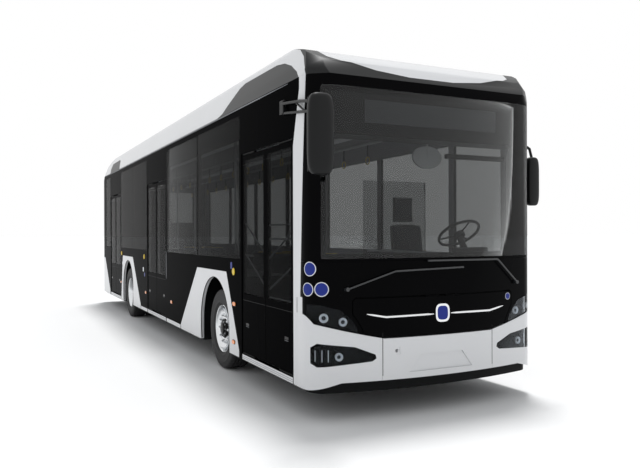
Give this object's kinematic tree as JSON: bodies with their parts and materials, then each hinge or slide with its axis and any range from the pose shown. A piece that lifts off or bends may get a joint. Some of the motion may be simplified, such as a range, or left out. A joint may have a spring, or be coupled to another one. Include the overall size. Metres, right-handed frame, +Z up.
{
  "type": "city bus",
  "caption": "Twelve-metre low-floor city bus with three inward-folding double doors, black glass band and steered front wheels.",
  "frame": {"origin": "on the ground under the middle of the bounding box", "axes": "+X to the front of the bus, +Y to its left side, +Z up"},
  "size_m": [12.24, 2.91, 3.49],
  "materials": {
    "tinted_glass": "tinted safety glass, clear from inside",
    "tyre_rubber": "black tyre rubber",
    "polished_alloy": "polished forged alloy",
    "cast_iron_black": "black coated casting",
    "brushed_steel_arm": "bare steel arm",
    "black_gloss_paint": "black gloss paint",
    "black_plastic": "black moulded plastic",
    "seat_fabric": "dark grey seat cover",
    "rail_steel": "stainless rail",
    "grey_paint": "grey primer",
    "white_paint": "white gloss paint"
  },
  "bodies": {
    "coachwork": {"axles": "cast_iron_black", "bumpers": "white_paint", "driver_cab": "black_plastic", "driver_seat": "seat_fabric", "front_frame": "black_gloss_paint", "front_mask": "black_gloss_paint", "handrails": "rail_steel", "lamp_units": "black_gloss_paint", "mirrors": "black_plastic", "passenger_seats": "seat_fabric", "power_cabinet": "grey_paint", "rear_wall": "white_paint", "roof_fairing": "white_paint", "roof_housings": "grey_paint", "roof_inlays": "black_gloss_paint", "roof_shell": "white_paint", "side_wall_left": "black_gloss_paint", "side_wall_right": "black_gloss_paint", "sign_box": "black_gloss_paint", "underframe": "grey_paint", "wheel_houses": "white_paint", "white_panels": "white_paint", "window_glass": "tinted_glass", "windscreen": "tinted_glass", "wipers": "black_plastic"},
    "front_flap": {"front_flap": "black_gloss_paint"},
    "rear_lid": {"rear_lid": "white_paint"},
    "steering_wheel": {"steering_wheel": "black_plastic"},
    "knuckle_left": {"knuckle_left": "cast_iron_black"},
    "knuckle_right": {"knuckle_right": "cast_iron_black"},
    "front_wheel_left": {"front_rim_left": "polished_alloy", "front_tyre_left": "tyre_rubber"},
    "front_wheel_right": {"front_rim_right": "polished_alloy", "front_tyre_right": "tyre_rubber"},
    "rear_wheel_left": {"rear_rim_left": "polished_alloy", "rear_tyre_left": "tyre_rubber"},
    "rear_wheel_right": {"rear_rim_right": "polished_alloy", "rear_tyre_right": "tyre_rubber"},
    "front_door_arm_rear": {"front_door_arm_rear": "brushed_steel_arm"},
    "front_door_arm_front": {"front_door_arm_front": "brushed_steel_arm"},
    "front_door_leaf_rear": {"front_door_leaf_rear": "black_gloss_paint"},
    "front_door_leaf_front": {"front_door_leaf_front": "black_gloss_paint"},
    "middle_door_arm_rear": {"middle_door_arm_rear": "brushed_steel_arm"},
    "middle_door_arm_front": {"middle_door_arm_front": "brushed_steel_arm"},
    "middle_door_leaf_rear": {"middle_door_leaf_rear": "black_gloss_paint"},
    "middle_door_leaf_front": {"middle_door_leaf_front": "black_gloss_paint"},
    "rear_door_arm_rear": {"rear_door_arm_rear": "brushed_steel_arm"},
    "rear_door_arm_front": {"rear_door_arm_front": "brushed_steel_arm"},
    "rear_door_leaf_rear": {"rear_door_leaf_rear": "black_gloss_paint"},
    "rear_door_leaf_front": {"rear_door_leaf_front": "black_gloss_paint"}
  },
  "joints": [
    {"name": "steer_left", "type": "hinge", "parent": "coachwork", "child": "knuckle_left", "pos_m": [3, 0.92, 0.487], "axis": [0, 0, 1], "range_deg": [-40, 40]},
    {"name": "steer_right", "type": "hinge", "parent": "coachwork", "child": "knuckle_right", "pos_m": [3, -0.92, 0.487], "axis": [0, 0, 1], "range_deg": [-40, 40]},
    {"name": "steering_wheel_turn", "type": "hinge", "parent": "coachwork", "child": "steering_wheel", "pos_m": [5.12, 0.78, 1.64], "axis": [-0.5736, 0, 0.8192], "range_deg": [-560, 560]},
    {"name": "front_spin_left", "type": "hinge", "parent": "knuckle_left", "child": "front_wheel_left", "pos_m": [3, 1.0675, 0.487], "axis": [0, 1, 0], "continuous": true},
    {"name": "rear_spin_left", "type": "hinge", "parent": "coachwork", "child": "rear_wheel_left", "pos_m": [-2.83, 1.1025, 0.487], "axis": [0, 1, 0], "continuous": true},
    {"name": "front_spin_right", "type": "hinge", "parent": "knuckle_right", "child": "front_wheel_right", "pos_m": [3, -1.0675, 0.487], "axis": [0, 1, 0], "continuous": true},
    {"name": "rear_spin_right", "type": "hinge", "parent": "coachwork", "child": "rear_wheel_right", "pos_m": [-2.83, -1.1025, 0.487], "axis": [0, 1, 0], "continuous": true},
    {"name": "front_flap_hinge", "type": "hinge", "parent": "coachwork", "child": "front_flap", "pos_m": [5.874, 0, 1.078], "axis": [0, -1, 0], "range_deg": [0, 100]},
    {"name": "rear_lid_hinge", "type": "hinge", "parent": "coachwork", "child": "rear_lid", "pos_m": [-6.108, 0, 1.498], "axis": [0, 1, 0], "range_deg": [0, 100]},
    {"name": "front_door_swing_rear", "type": "hinge", "parent": "coachwork", "child": "front_door_arm_rear", "pos_m": [3.992, -1.249, 0.34], "axis": [0, 0, 1], "range_deg": [0, 90]},
    {"name": "front_door_turn_rear", "type": "hinge", "parent": "front_door_arm_rear", "child": "front_door_leaf_rear", "pos_m": [4.3185, -1.249, 0.34], "axis": [0, 0, 1], "range_deg": [-180, 0]},
    {"name": "front_door_swing_front", "type": "hinge", "parent": "coachwork", "child": "front_door_arm_front", "pos_m": [5.328, -1.249, 0.34], "axis": [0, 0, 1], "range_deg": [-90, 0]},
    {"name": "front_door_turn_front", "type": "hinge", "parent": "front_door_arm_front", "child": "front_door_leaf_front", "pos_m": [5.0015, -1.249, 0.34], "axis": [0, 0, 1], "range_deg": [0, 180]},
    {"name": "middle_door_swing_rear", "type": "hinge", "parent": "coachwork", "child": "middle_door_arm_rear", "pos_m": [-0.93863, -1.249, 0.34], "axis": [0, 0, 1], "range_deg": [0, 90]},
    {"name": "middle_door_turn_rear", "type": "hinge", "parent": "middle_door_arm_rear", "child": "middle_door_leaf_rear", "pos_m": [-0.61213, -1.249, 0.34], "axis": [0, 0, 1], "range_deg": [-180, 0]},
    {"name": "middle_door_swing_front", "type": "hinge", "parent": "coachwork", "child": "middle_door_arm_front", "pos_m": [0.39737, -1.249, 0.34], "axis": [0, 0, 1], "range_deg": [-90, 0]},
    {"name": "middle_door_turn_front", "type": "hinge", "parent": "middle_door_arm_front", "child": "middle_door_leaf_front", "pos_m": [0.07087, -1.249, 0.34], "axis": [0, 0, 1], "range_deg": [0, 180]},
    {"name": "rear_door_swing_rear", "type": "hinge", "parent": "coachwork", "child": "rear_door_arm_rear", "pos_m": [-4.938, -1.249, 0.34], "axis": [0, 0, 1], "range_deg": [0, 90]},
    {"name": "rear_door_turn_rear", "type": "hinge", "parent": "rear_door_arm_rear", "child": "rear_door_leaf_rear", "pos_m": [-4.6365, -1.249, 0.34], "axis": [0, 0, 1], "range_deg": [-180, 0]},
    {"name": "rear_door_swing_front", "type": "hinge", "parent": "coachwork", "child": "rear_door_arm_front", "pos_m": [-3.702, -1.249, 0.34], "axis": [0, 0, 1], "range_deg": [-90, 0]},
    {"name": "rear_door_turn_front", "type": "hinge", "parent": "rear_door_arm_front", "child": "rear_door_leaf_front", "pos_m": [-4.0035, -1.249, 0.34], "axis": [0, 0, 1], "range_deg": [0, 180]}
  ],
  "couplings": [
    {"joint": "steer_right", "follows": "steer_left", "ratio": 1},
    {"joint": "steering_wheel_turn", "follows": "steer_left", "ratio": 14},
    {"joint": "front_door_turn_rear", "follows": "front_door_swing_rear", "ratio": -2},
    {"joint": "front_door_swing_front", "follows": "front_door_swing_rear", "ratio": -1},
    {"joint": "front_door_turn_front", "follows": "front_door_swing_rear", "ratio": 2},
    {"joint": "middle_door_turn_rear", "follows": "middle_door_swing_rear", "ratio": -2},
    {"joint": "middle_door_swing_front", "follows": "middle_door_swing_rear", "ratio": -1},
    {"joint": "middle_door_turn_front", "follows": "middle_door_swing_rear", "ratio": 2},
    {"joint": "rear_door_turn_rear", "follows": "rear_door_swing_rear", "ratio": -2},
    {"joint": "rear_door_swing_front", "follows": "rear_door_swing_rear", "ratio": -1},
    {"joint": "rear_door_turn_front", "follows": "rear_door_swing_rear", "ratio": 2}
  ]
}
